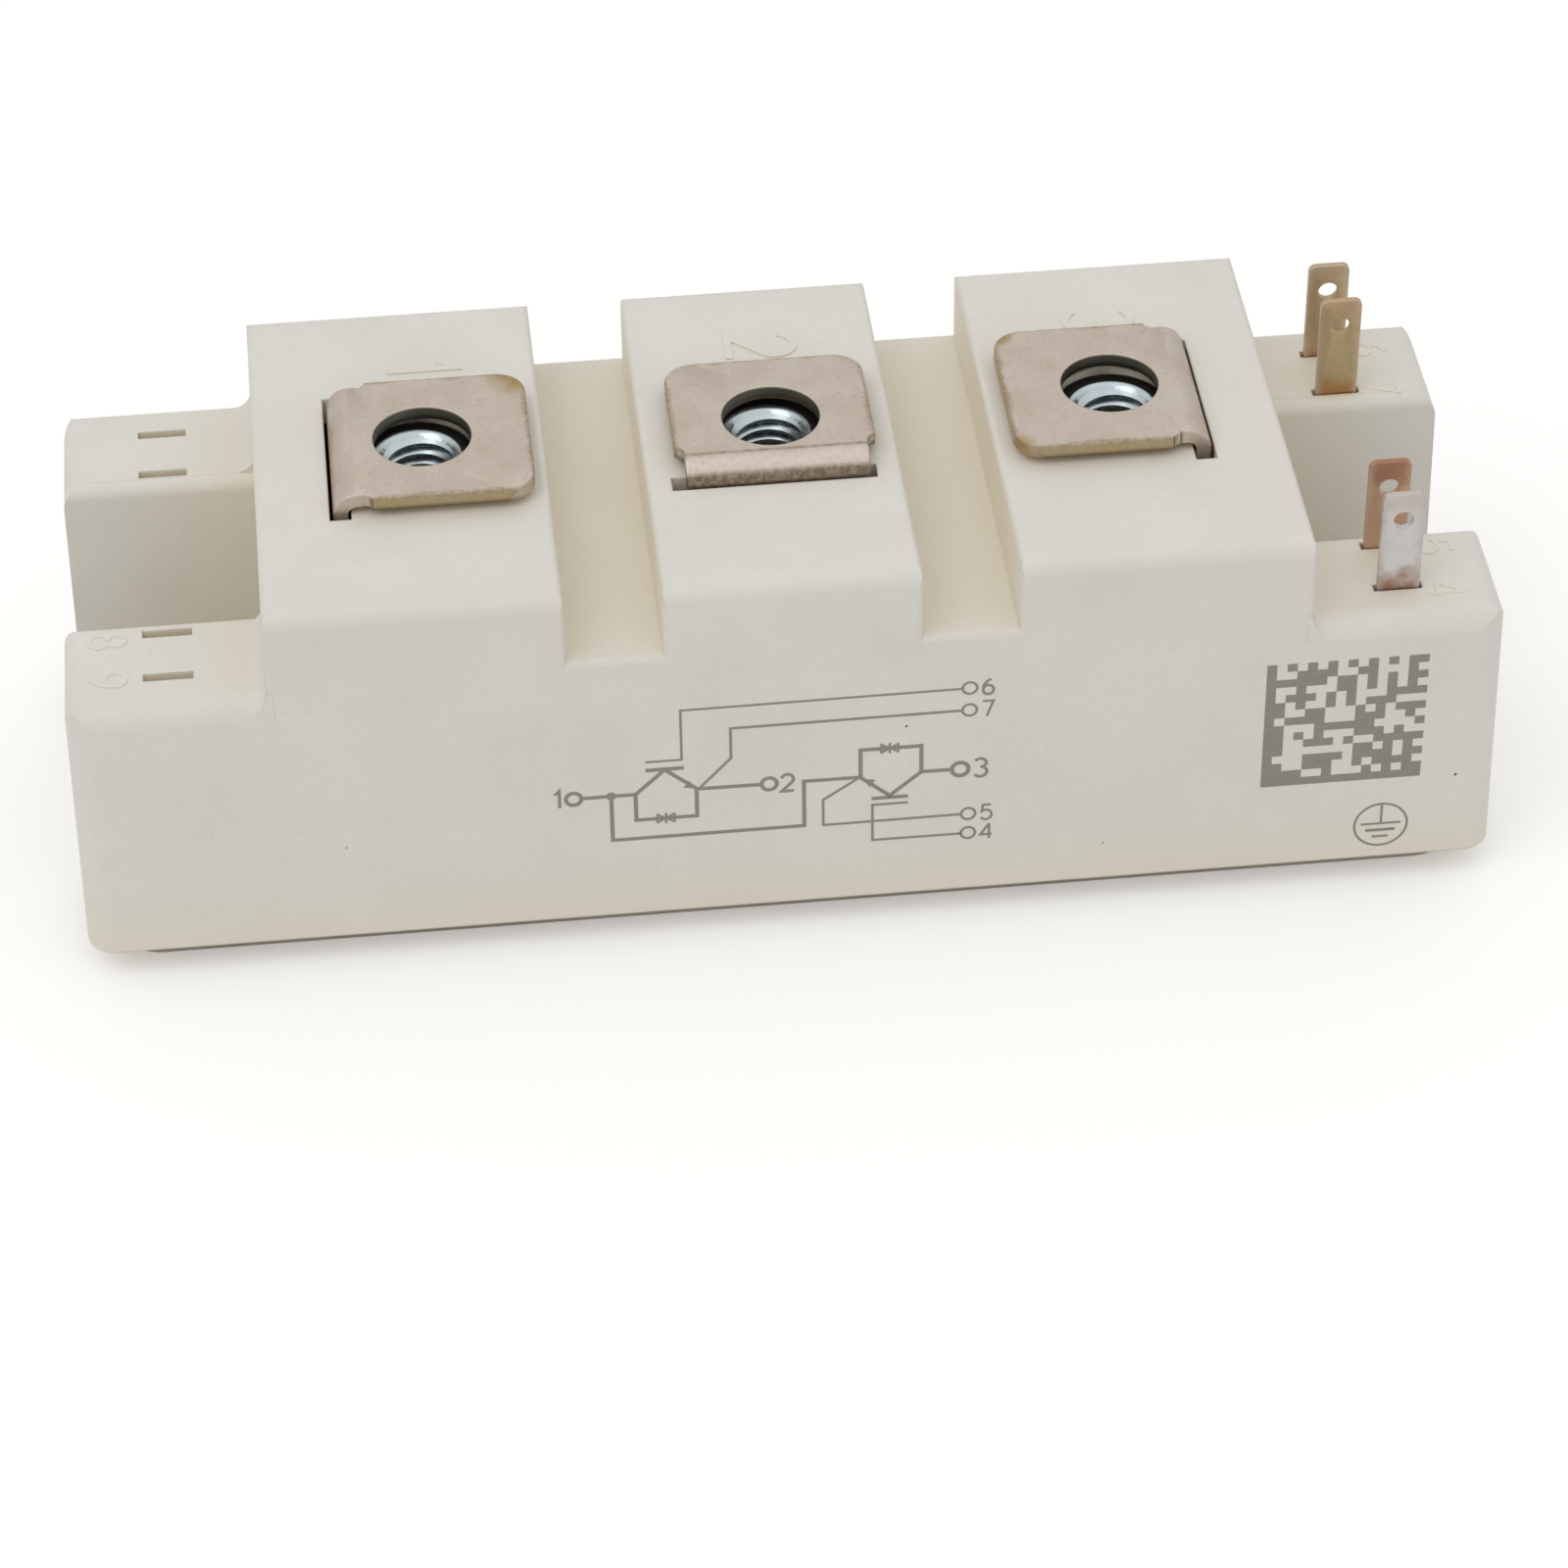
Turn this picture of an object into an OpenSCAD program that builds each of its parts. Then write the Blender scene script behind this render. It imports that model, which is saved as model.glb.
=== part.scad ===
// Half-bridge power module: a moulded case on a copper base plate,
// with three screw terminals in towers and four blade terminals at one end.
// Origin: centre of the mounting face. +X along the module, towards the blade
// terminals; +Y across it; +Z up from the heat sink.

/* [Base plate] */
// Length of the base plate
plate_l = 90.2; // [89.8:0.1:90.6]
// Width of the base plate
plate_w = 30.2; // [29.8:0.1:30.6]
// Thickness of the base plate
plate_t = 3; // [2.8:0.1:3.2]
// Corner radius of the base plate
plate_corner_r = 3; // [2:0.5:4]
// Distance between the two mounting holes
screw_pitch = 80; // [79.8:0.1:80.2]
// Diameter of the mounting holes
screw_hole_d = 6.4; // [6:0.1:6.6]

/* [Case] */
// Length of the case at its lower rim
case_l = 94; // [93.6:0.1:94.4]
// Width of the case at its lower rim
case_w = 34; // [33.8:0.1:34.2]
// Height of the lower rim above the mounting face
rim_z = 2; // [1.6:0.1:2.2]
// Draft of the moulded outer walls, in degrees
draft = 0.75; // [0.5:0.05:1]
// Height of the tower tops
tower_z = 28.5; // [28.3:0.1:28.6]
// Height of the floors of the two cross grooves
groove_z = 23.3; // [22.8:0.1:23.8]
// Height of the four corner blocks
block_z = 21.9; // [21.6:0.1:22.2]
// Distance from the centre to the outer side of the end towers, at their foot
tower_end_x = 33.8; // [33.6:0.1:34]
// Width of each cross groove
groove_w = 6.3; // [5.8:0.1:6.6]
// Radius along the front and rear top edges of the towers
tower_edge_r = 1.1; // [0.6:0.1:1.4]
// Radius along the top edges of the towers that face the grooves and the ends
tower_side_r = 0.4; // [0.2:0.1:0.6]
// Radius along the front and rear edges of the groove floors
groove_edge_r = 0.5; // [0.3:0.1:0.8]
// Radius along the top edges of the corner blocks
block_edge_r = 1.6; // [1.2:0.1:1.8]
// Radius of the upright corners of the case
corner_r = 2; // [1.5:0.1:2.5]
// Radius of the upright corners of the towers
upright_r = 0.4; // [0.3:0.1:0.8]
// Radius of the rear upright corners of the middle tower
middle_upright_r = 1.1; // [0.8:0.1:1.4]
// Radius in the angle between the end towers and the corner blocks
foot_r = 1.28; // [1:0.1:1.5]
// Thickness of the outer walls and roofs
wall = 2; // [1.8:0.1:2]

/* [Screw recesses] */
// Width of the recess at each end, at the top
recess_w = 14.6; // [14.2:0.1:15]
// Radius along the top edges of the recess
recess_edge_r = 0.9; // [0.5:0.1:1.2]

/* [Screw terminals] */
// Distance between neighbouring screw terminals
terminal_pitch = 23; // [22.8:0.1:23.2]
// Height of the terminal tops above the mounting face
terminal_z = 30; // [29.8:0.1:30.4]
// Thickness of the terminal sheet
sheet_t = 1; // [0.9:0.05:1.1]
// Radius inside the bends of the sheet
sheet_bend_r = 0.6; // [0.4:0.05:0.6]
// Widths of the terminal plates, across their bend
terminal_ws = [12.9, 13.2, 13.1];
// Width of the legs where they pass through the case
leg_w = 12; // [11.8:0.1:12.2]
// Diameter of the screw hole
terminal_hole_d = 6.4; // [6.2:0.1:6.6]
// Corner radius of the terminal plates
terminal_corner_r = 2; // [1:0.1:2.5]
// Radius of the relief notches at both ends of the bend
relief_r = 0.5; // [0.3:0.05:0.5]

/* [Nuts] */
// Width of the nut across its flats
nut_af = 8; // [7.8:0.1:8]
// Thickness of the nut
nut_t = 4; // [3.8:0.1:4]
// Diameter of the nut's bore, inside the thread
nut_bore_d = 4.2; // [4.1:0.05:4.3]
// Depth of the top of the nut below the tower top
nut_drop = 0.25; // [0.2:0.05:0.4]
// Depth of the screw space below the tower top
screw_space = 10.4; // [10:0.1:10.8]

/* [Blade terminals] */
// Width of the blades
blade_w = 2.8; // [2.6:0.1:2.8]
// Thickness of the blades
blade_t = 0.5; // [0.45:0.05:0.55]
// Height of the blade tips above the mounting face
blade_z = 29.5; // [29:0.1:30]
// Distance from the centre to the blades, along the module
blade_x = 40; // [39.8:0.1:40.2]
// Distances from the centre to the inner and outer blades, across the module
blade_ys = [8.7, 13.2];
// Diameter of the hole in each blade
blade_hole_d = 1.3; // [1.1:0.1:1.5]

/* [Substrates] */
// Length of each ceramic substrate
ceramic_l = 29; // [28.6:0.1:29]
// Width of each ceramic substrate
ceramic_w = 26; // [25.6:0.1:26.4]
// Thickness of the ceramic
ceramic_t = 0.4; // [0.38:0.01:0.42]
// Thickness of the copper on each side of the ceramic
copper_t = 0.3; // [0.28:0.01:0.32]
// Thickness of the solder under each substrate
solder_t = 0.2; // [0.18:0.01:0.22]
// Side of the square transistor chips
igbt_side = 9.4; // [9:0.1:9.6]
// Side of the square diode chips
diode_side = 6.6; // [6:0.1:6.8]
// Thickness of the chips with their solder
chip_t = 0.3; // [0.25:0.01:0.35]
// Diameter of the bond wires
wire_d = 0.4; // [0.3:0.05:0.45]
// Height of the silicone gel above the mounting face
gel_z = 11.5; // [11.2:0.1:11.8]

/* [Hidden] */

$fn = 48;
eps = 0.01;

// Heights of the layers, from the base plate up
bead_t = 0.2;
shelf_z = plate_t + bead_t;
back_z = plate_t + solder_t;
ceramic_z = back_z + copper_t;
track_z = ceramic_z + ceramic_t;
track_top = track_z + copper_t;
chip_top = track_top + chip_t;

// Case: half sizes, tower edges and inner space. The outer walls stand on the
// base plate by the width of a shelf.
shelf_w = 1.1;
half_l = case_l / 2;
half_w = case_w / 2;
tower_xs = [-terminal_pitch, 0, terminal_pitch];
groove_xs = [-terminal_pitch / 2, terminal_pitch / 2];
tower_half = (terminal_pitch - groove_w) / 2;
tower_spans = [[-tower_end_x, tower_half - terminal_pitch], [-tower_half, tower_half],
    [terminal_pitch - tower_half, tower_end_x]];
hall_x = tower_end_x - wall;
hall_y = plate_w / 2 - shelf_w;
room_x = plate_l / 2 - shelf_w;
room_y = 8.2;
plate_gap = 0.2;
rib_t = 1.5;
rib_z = 12.5;
slot_w = sheet_t + 0.4;
slot_l = leg_w + 1.4;

// Screw terminals: how far each sits off the axis of its nut, reach of the plate
// past its hole, distance from the hole to the outer face of the leg, turn about
// Z, and the span of the lower leg across its width
terminal_off = [[0.4, -0.2], [0.25, -0.6], [-0.15, 0.4]];
terminal_reach = [7.05, 5.6, 7.05];
leg_out = [6.15, 5.3, 5.9];
terminal_turn = [0, 90, 180];
lower_leg = [[-4, 4], [2.2, 5.8], [-4, 4]];
bend_out = sheet_bend_r + sheet_t;
leg_narrow_z = 16;
joggle_z = 15.6;
joggle_run = 0.6;
joggle_turn = 45;
foot_run = 2.4;

// Nuts: the hexagon stands with a flat towards the leg
nut_turn = [30, 0, 30];
nut_gap = 0.08;
nut_top = tower_z - nut_drop;
pocket_wall = 0.6;
screw_space_d = 6;
boss_floor = 1.6;

// Blade terminals: side of the module, row, where the foot lands, and height of
// the tip
blade_4 = [-1, 1, 5.8, blade_z];
blade_5 = [-1, 0, 3.2, blade_z - 0.7];
blade_6 = [1, 1, -6.4, blade_z - 0.2];
blade_7 = [1, 0, -3.8, blade_z];
blade_slot = [3.2, 0.7];
bar_z = [9, 11];
blade_leg_w = 1.6;
blade_foot_run = 1.6;

// Substrates: both are the same part, turned half round. The gel stands off
// what it covers by a small gap.
substrate_x = 15.5;
copper_inset = 0.8;
near_x = substrate_x - ceramic_l / 2 + copper_inset;
far_x = substrate_x + ceramic_l / 2 - copper_inset;
far_y = ceramic_w / 2 - copper_inset;
gel_gap = 0.1;

// Bond wires: length and thickness of the flat bonds, and how steeply a loop
// leaves them
bond_l = 0.8;
bond_t = 0.16;
wire_rise = 55;

// A square across the flats, as the radius of a hexagon's corners
function hex_r(across_flats) = across_flats / 2 / cos(30);

// Where a drafted wall that starts at size at the rim stands at height z
function drafted(size, z) = size - (z - rim_z) * tan(draft);

// ---- outlines ----

// A rectangle about the origin with round corners
module round_rect(size, r) {
    square([size[0] - 2 * r, size[1]], center = true);
    square([size[0], size[1] - 2 * r], center = true);
    for (x = [-1, 1], y = [-1, 1])
        translate([x * (size[0] / 2 - r), y * (size[1] / 2 - r)]) circle(r);
}

// What is left of a square corner once a radius is rounded off it: the corner
// is at the origin, the square lies towards +X and +Y, and lap runs past it
module spandrel(r, lap = eps) {
    difference() {
        translate([-lap, -lap]) square(r + lap);
        translate([r, r]) circle(r);
    }
}

// How far in from a top edge the centre of its radius lies, where the wall below
// the edge leans out by the draft
function edge_inset(r) = r * (1 - sin(draft)) / cos(draft);

// What a radius takes off such a top edge: the edge is at the origin, the wall
// faces +X, and the radius runs smoothly into both faces
module edge_cut(r) {
    centre = [-edge_inset(r), -r];
    low = centre + r * [cos(draft), sin(draft)];
    difference() {
        polygon([[centre[0], 2], [2, 2], [2, low[1]], low, centre]);
        translate(centre) circle(r);
    }
}

// The wall profile of the case, drafted on both sides, from the rim to height
// top, with its two top edges rounded where r is more than nothing
module wall_profile(half, top, r) {
    at_top = drafted(half, top);
    difference() {
        polygon([[-half, rim_z], [half, rim_z], [at_top, top], [-at_top, top]]);
        if (r > 0)
            for (side = [0, 1])
                mirror([side, 0]) translate([at_top, top]) edge_cut(r);
    }
}

// A strip of sheet seen from its side. It starts at the origin with its upper
// face on the X axis. Each step is a straight run and then a turn in degrees,
// clockwise when it is positive.
module strip_profile(steps, t, r, i = 0) {
    run = steps[i][0];
    turn = steps[i][1];
    translate([0, -t]) square([run, t]);
    if (turn > 0)
        translate([run, -t - r]) {
            rotate(90 - turn) arc_band(r, t, turn);
            rotate(-turn) translate([0, t + r]) strip_profile(steps, t, r, i + 1);
        }
    if (turn < 0)
        translate([run, r]) {
            rotate(-90) arc_band(r, t, -turn);
            rotate(-turn) translate([0, -r]) strip_profile(steps, t, r, i + 1);
        }
}

// A bend of the strip: a band outside radius r, from the X axis through a turn
module arc_band(r, t, turn) {
    far = 2 * (r + t);
    difference() {
        intersection() {
            circle(r + t);
            polygon([[0, 0], [far, 0], far * [cos(turn / 2), sin(turn / 2)],
                far * [cos(turn), sin(turn)]]);
        }
        circle(r);
    }
}

// ---- base plate and what lies on it ----

module base_plate() {
    color("silver")
    difference() {
        linear_extrude(plate_t) round_rect([plate_l, plate_w], plate_corner_r);
        for (x = [-1, 1])
            translate([x * screw_pitch / 2, 0, -1])
                cylinder(d = screw_hole_d, h = plate_t + 2);
    }
}

// Silicone bead that glues the case to the base plate
module sealing_bead() {
    color("whitesmoke")
    translate([0, 0, plate_t])
    linear_extrude(bead_t)
    difference() {
        round_rect([plate_l - 2 * plate_gap, plate_w - 2 * plate_gap], plate_corner_r);
        inner_plan();
        for (side = [0, 1])
            mirror([side, 0]) translate([tower_end_x - 0.5, -recess_w / 2])
                square([half_l, recess_w]);
    }
}

// Turns the low side's half of the module half round for the high side
module on_high_side() {
    rotate(180) children();
}

module solder_layer() {
    color("gray")
    translate([-far_x, -far_y, plate_t])
        cube([far_x - near_x, 2 * far_y, solder_t]);
}

// Ceramic tile with its bonded copper underside
module substrate() {
    color("white")
    translate([-far_x, -far_y, back_z])
        cube([far_x - near_x, 2 * far_y, copper_t]);
    translate([-substrate_x, 0, ceramic_z + ceramic_t / 2])
        cube([ceramic_l, ceramic_w, ceramic_t], center = true);
}

// A field of the etched copper, between two places along X and two along Y
module track(x, y) {
    translate([x[0], y[0], track_z])
        cube([x[1] - x[0], y[1] - y[0], copper_t]);
}

// Low side: the collector field has a neck that reaches the middle
module tracks_low() {
    color("peru") {
        track([-far_x, -9], [-far_y, far_y]);
        track([-9 - eps, -near_x], [-far_y, -9.5]);
        track([-8, -near_x], [-8.3, 8.2]);
        track([-8, -near_x], [9.4, far_y]);
    }
}

// High side: the emitter field has a tongue that meets the neck across the gap
module tracks_high() {
    color("peru") {
        track([9, far_x], [-far_y, far_y]);
        track([near_x, 8], [-8.2, far_y]);
        track([near_x, 3.8], [-far_y, -8.2 + eps]);
        track([4.8, 8], [-far_y, -9.4]);
    }
}

module igbt_chip() {
    color("dimgray")
    translate([-16, 5.7, track_top + chip_t / 2])
        cube([igbt_side, igbt_side, chip_t], center = true);
}

module diode_chip() {
    color("slategray")
    translate([-15.2, -5.1, track_top + chip_t / 2])
        cube([diode_side, diode_side, chip_t], center = true);
}

// A bond wire along X from a flat bond at one height to one at another
module bond_wire(x, z, y) {
    dx = x[1] - x[0];
    dz = z[1] - z[0];
    chord = sqrt(dx * dx + dz * dz);
    bow_r = chord / 2 / sin(wire_rise);
    translate([x[0], y, z[0] + wire_d / 2])
    rotate([90, 0, 0])
    rotate(atan2(dz, dx))
    translate([chord / 2, -bow_r * cos(wire_rise)])
    rotate(90 - wire_rise)
    rotate_extrude(angle = 2 * wire_rise, $fn = 48)
        translate([bow_r, 0]) circle(d = wire_d, $fn = 16);
    for (i = [0, 1])
        translate([x[i], y, z[i] + bond_t / 2])
            cube([bond_l, wire_d + 0.1, bond_t], center = true);
}

// The wires of one side: transistor emitter, its gate, and diode anode
module bond_wires() {
    color("lightgray") {
        for (y = [1.9 : 1.2 : 8]) bond_wire([-13.6, -7.3], [chip_top, track_top], y);
        bond_wire([-12, -7.3], [chip_top, track_top], 9.9);
        for (y = [-7.4 : 1.15 : -2.5]) bond_wire([-13.4, -7.3], [chip_top, track_top], y);
    }
}

// Wires that join the low side's collector to the high side's emitter
module link_wires() {
    color("lightgray")
    for (y = [-11.8 : 0.6 : -9.9]) bond_wire([-2.6, 2.6], [track_top, track_top], y);
}

// ---- case ----

// Plan of the inner space, drawn in by inset: a hall under the towers that runs
// on into a room under each corner block
module inner_plan(inset = 0) {
    rooms_w = hall_y - room_y - 2 * inset;
    square(2 * [hall_x - inset, hall_y - inset], center = true);
    for (side = [-1, 1])
        translate([0, side * (hall_y + room_y) / 2])
            square([2 * (room_x - inset), rooms_w], center = true);
}

// A length of the case from x[0] to x[1] with its top at height top
module ridge(x, top, r) {
    translate([x[0], 0, 0])
    rotate([90, 0, 90])
    linear_extrude(x[1] - x[0]) wall_profile(half_w, top, r);
}

// Rounds off one upright corner along its drafted edge
module corner_round() {
    length = block_z + 4;
    translate([half_l, half_w, rim_z])
    rotate([atan(tan(draft) * cos(draft)), -draft, 0])
    difference() {
        translate([-corner_r, -corner_r, -2]) cube([corner_r + 2, corner_r + 2, length]);
        translate([-corner_r, -corner_r, -3]) cylinder(r = corner_r, h = length + 2);
    }
}

// The low body under the corner blocks, rounded at its ends
module case_body() {
    difference() {
        intersection() {
            ridge([-half_l, half_l], block_z, block_edge_r);
            rotate([90, 0, 0])
            linear_extrude(case_w + 2, center = true)
                wall_profile(half_l, block_z, block_edge_r);
        }
        for (x = [0, 1], y = [0, 1]) mirror([x, 0, 0]) mirror([0, y, 0]) corner_round();
    }
}

// One level of the ridge over a span of X, with round upright corners
module level(x, top, edge_r, rear_r = upright_r) {
    half = drafted(half_w, groove_z);
    past = 2;
    intersection() {
        ridge(x, top, edge_r);
        translate([(x[0] + x[1]) / 2, 0, 0])
        linear_extrude(tower_z + 1)
        intersection() {
            translate([0, past]) round_rect([x[1] - x[0], 2 * (half + past)], upright_r);
            translate([0, -past]) round_rect([x[1] - x[0], 2 * (half + past)], rear_r);
        }
    }
}

// Towers on the level of the groove floors, with drafted outer ends
module towers() {
    intersection() {
        union() {
            level([-tower_end_x, tower_end_x], groove_z, groove_edge_r);
            for (i = [0 : 2])
                level(tower_spans[i], tower_z, tower_edge_r,
                    i == 1 ? middle_upright_r : upright_r);
        }
        rotate([90, 0, 0]) linear_extrude(case_w, center = true) towers_front();
    }
}

// Outline of the towers from the front. It leaves the grooves filled and rounds
// the top edges beside them and at both ends.
module towers_front() {
    lean = tan(draft);
    at_top = tower_end_x - (tower_z - block_z) * lean;
    difference() {
        polygon([[-tower_end_x, rim_z + 2], [tower_end_x, rim_z + 2],
            [tower_end_x, block_z], [at_top - lean, tower_z + 1],
            [lean - at_top, tower_z + 1], [-tower_end_x, block_z]]);
        for (side = [0, 1])
            mirror([side, 0]) translate([at_top, tower_z]) edge_cut(tower_side_r);
        for (x = groove_xs, side = [-1, 1])
            translate([x + side * groove_w / 2, tower_z])
            mirror([side < 0 ? 1 : 0, 0])
            mirror([0, 1])
                spandrel(tower_side_r, 1);
    }
}

// Radius that fills the angle between an end tower and its corner blocks. At the
// front and rear it follows the rounded edges of the blocks.
module tower_foot() {
    axis_y = drafted(half_w, block_z) - edge_inset(block_edge_r);
    intersection() {
        union() {
            rotate([90, 0, 0])
            linear_extrude(2 * axis_y, center = true)
            translate([tower_end_x, block_z])
                spandrel(foot_r, upright_r);
            for (side = [-1, 1])
                translate([tower_end_x, side * axis_y, block_z - block_edge_r])
                rotate([0, 90, 0])
                rotate(135 - side * 45)
                rotate_extrude(angle = 90)
                translate([block_edge_r, 0])
                    spandrel(foot_r, upright_r);
        }
        ridge([0, half_l], tower_z, 0);
    }
}

// The recess over each mounting hole, open upwards and to the end. It ends the
// radius at the foot of the tower too.
module screw_recess() {
    half = recess_w / 2;
    over = half + recess_edge_r;
    at_floor = half - block_z * tan(draft);
    translate([tower_end_x, 0, 0])
    rotate([90, 0, 90])
    linear_extrude(half_l) {
        polygon([[-at_floor, 0], [at_floor, 0], [half, block_z], [-half, block_z]]);
        translate([-over, block_z - eps]) square([2 * over, foot_r + 2 * eps]);
        for (side = [0, 1])
            mirror([side, 0]) translate([half, block_z])
                mirror([1, 0]) edge_cut(recess_edge_r);
    }
}

// Everything inside: the seat of the base plate, the hall with its roof steps,
// and the rooms under the corner blocks
module inner_space() {
    translate([0, 0, -1])
    linear_extrude(shelf_z + 1)
            round_rect([plate_l + 2 * plate_gap, plate_w + 2 * plate_gap], plate_corner_r);
    linear_extrude(block_z - wall) inner_plan();
    difference() {
        translate([-hall_x, -hall_y, shelf_z])
            cube([2 * hall_x, 2 * hall_y, groove_z - wall - shelf_z]);
        for (x = groove_xs)
            translate([x - rib_t / 2, -half_w, rib_z]) cube([rib_t, case_w, tower_z]);
    }
    for (x = tower_xs) tower_space(x);
}

// The attic of one tower, above the level of the groove floors
module tower_space(x) {
    inner = tower_half - wall;
    low = x < 0 ? -hall_x : x - inner;
    high = x > 0 ? hall_x : x + inner;
    translate([low, -hall_y, shelf_z])
        cube([high - low, 2 * hall_y, tower_z - wall - shelf_z]);
}

// Boss that holds the nut and keeps the screw away from the inside
module nut_boss(i) {
    translate([tower_xs[i], 0, tower_z - screw_space - boss_floor])
    rotate(nut_turn[i])
        cylinder(r = hex_r(nut_af + 2 * (nut_gap + pocket_wall)),
            h = screw_space + boss_floor - wall / 2, $fn = 6);
}

module nut_pocket(i) {
    translate([tower_xs[i], 0, 0]) {
        translate([0, 0, nut_top - nut_t]) rotate(nut_turn[i])
            cylinder(r = hex_r(nut_af + 2 * nut_gap), h = tower_z, $fn = 6);
        translate([0, 0, tower_z - screw_space])
            cylinder(d = screw_space_d, h = screw_space);
    }
}

// Places what belongs to a screw terminal: its hole at the origin, its bend
// towards -X
module at_terminal(i) {
    translate([tower_xs[i] + terminal_off[i][0], terminal_off[i][1], 0])
    rotate(terminal_turn[i])
        children();
}

// Slot for a leg: it lies round the leg's sheet, and across it on the axis of
// the module
module terminal_slot(i) {
    turn = terminal_turn[i];
    leg_x = terminal_off[i] * [cos(turn), sin(turn)] - leg_out[i];
    translate([tower_xs[i], 0, 0])
    rotate(turn)
    translate([leg_x + (sheet_t - slot_w) / 2, -slot_l / 2, tower_z - wall - 2])
        cube([slot_w, slot_l, wall + 4]);
}

// Slots for blades at both ends: those at the far end stay empty
module blade_slots() {
    for (x = [-1, 1], side = [-1, 1], y = blade_ys)
        translate([x * blade_x, side * y, block_z])
            cube([blade_slot[0], blade_slot[1], 3 * wall], center = true);
}

module case() {
    color("ivory")
    difference() {
        union() {
            difference() {
                union() {
                    case_body();
                    towers();
                    for (side = [0, 1]) mirror([side, 0, 0]) tower_foot();
                }
                inner_space();
            }
            for (i = [0 : 2]) nut_boss(i);
        }
        for (i = [0 : 2]) {
            nut_pocket(i);
            terminal_slot(i);
        }
        blade_slots();
        for (side = [0, 1]) mirror([side, 0, 0]) screw_recess();
    }
}

// ---- terminals ----

// Plate of a screw terminal, with its upper face at height 0
module terminal_plate(width, reach, bend_x) {
    r = terminal_corner_r;
    translate([0, 0, -sheet_t])
    linear_extrude(sheet_t)
    difference() {
        union() {
            translate([bend_x, -width / 2]) square([reach - bend_x - r, width]);
            translate([bend_x, r - width / 2]) square([reach - bend_x, width - 2 * r]);
            for (y = [-1, 1])
                translate([reach - r, y * (width / 2 - r)]) circle(r);
        }
        circle(d = terminal_hole_d);
        for (side = [0, 1])
            mirror([0, side]) {
                translate([bend_x + relief_r, width / 2]) circle(relief_r);
                translate([bend_x - 1, leg_w / 2]) square([1 + relief_r, 2]);
            }
    }
}

// The folded part: bend, leg with a joggle for stress relief, and foot
module terminal_leg(span, out) {
    upper = terminal_z - bend_out - joggle_z;
    joggle_drop = (bend_out + sheet_bend_r) * sin(joggle_turn)
        + joggle_run * cos(joggle_turn);
    lower = joggle_z - joggle_drop - bend_out - track_top;
    steps = [[eps, 90], [upper, joggle_turn], [joggle_run, -joggle_turn],
        [lower, 90], [foot_run, 0]];
    mirror([1, 0, 0])
    intersection() {
        translate([out - bend_out - eps, leg_w / 2, 0])
        rotate([90, 0, 0])
        linear_extrude(leg_w) strip_profile(steps, sheet_t, sheet_bend_r);
        union() {
            translate([0, -leg_w / 2, leg_narrow_z - terminal_z])
                cube([2 * out, leg_w, terminal_z]);
            translate([-out, span[0], -terminal_z])
                cube([3 * out, span[1] - span[0], terminal_z]);
        }
    }
}

module screw_terminal(i) {
    color("tan")
    at_terminal(i)
    translate([0, 0, terminal_z]) {
        terminal_plate(terminal_ws[i], terminal_reach[i], bend_out - leg_out[i]);
        terminal_leg(lower_leg[i], leg_out[i]);
    }
}

// Hexagon nut with chamfered corners and a countersunk bore
module nut(i) {
    chamfer = 0.6;
    countersink = 0.8;
    face_r = 3.75;
    color("lightsteelblue")
    translate([tower_xs[i], 0, nut_top - nut_t])
    rotate(nut_turn[i])
    difference() {
        intersection() {
            cylinder(r = hex_r(nut_af), h = nut_t, $fn = 6);
            cylinder(r1 = face_r + nut_t, r2 = face_r, h = nut_t, $fn = 64);
        }
        translate([0, 0, -1]) cylinder(d = nut_bore_d, h = nut_t + 2);
        translate([0, 0, nut_t - countersink])
            cylinder(d1 = nut_bore_d, d2 = nut_bore_d + 2 * countersink + 2 * eps,
                h = countersink + eps);
        translate([0, 0, -eps])
            cylinder(d1 = nut_bore_d + 2 * chamfer + 2 * eps, d2 = nut_bore_d,
                h = chamfer + eps);
    }
}

// Front view of a stamped blade terminal: blade, bar and leg in one flat piece
module blade_front(foot_x, tip_z) {
    tip_r = 0.5;
    hole_drop = 2.05;
    shoulder_w = 3;
    shoulder_z = [15, 21.4];
    difference() {
        union() {
            translate([blade_x, (bar_z[0] + tip_z) / 2])
                round_rect([blade_w, tip_z - bar_z[0]], tip_r);
            translate([blade_x - shoulder_w / 2, shoulder_z[0]])
                square([shoulder_w, shoulder_z[1] - shoulder_z[0]]);
            translate([foot_x - blade_leg_w / 2, bar_z[0]])
                square([blade_x - foot_x + blade_leg_w / 2, bar_z[1] - bar_z[0]]);
        }
        translate([blade_x, tip_z - hole_drop]) circle(d = blade_hole_d);
    }
}

// A blade terminal: spec holds its side, its row, the place of its foot, which
// turns inwards onto its track, and the height of its tip
module blade_terminal(spec) {
    side = spec[0];
    bend_r = 0.4;
    drop = bar_z[0] - track_top - bend_r - blade_t;
    color("burlywood")
    mirror([0, side < 0 ? 1 : 0, 0])
    translate([0, blade_ys[spec[1]] + blade_t / 2, 0]) {
        rotate([90, 0, 0]) linear_extrude(blade_t) blade_front(spec[2], spec[3]);
        translate([spec[2] - blade_leg_w / 2, 0, bar_z[0] + eps])
        rotate([90, 0, 90])
        linear_extrude(blade_leg_w)
        rotate(-90) strip_profile([[drop + eps, 90], [blade_foot_run, 0]], blade_t, bend_r);
    }
}

// ---- silicone gel ----

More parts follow.
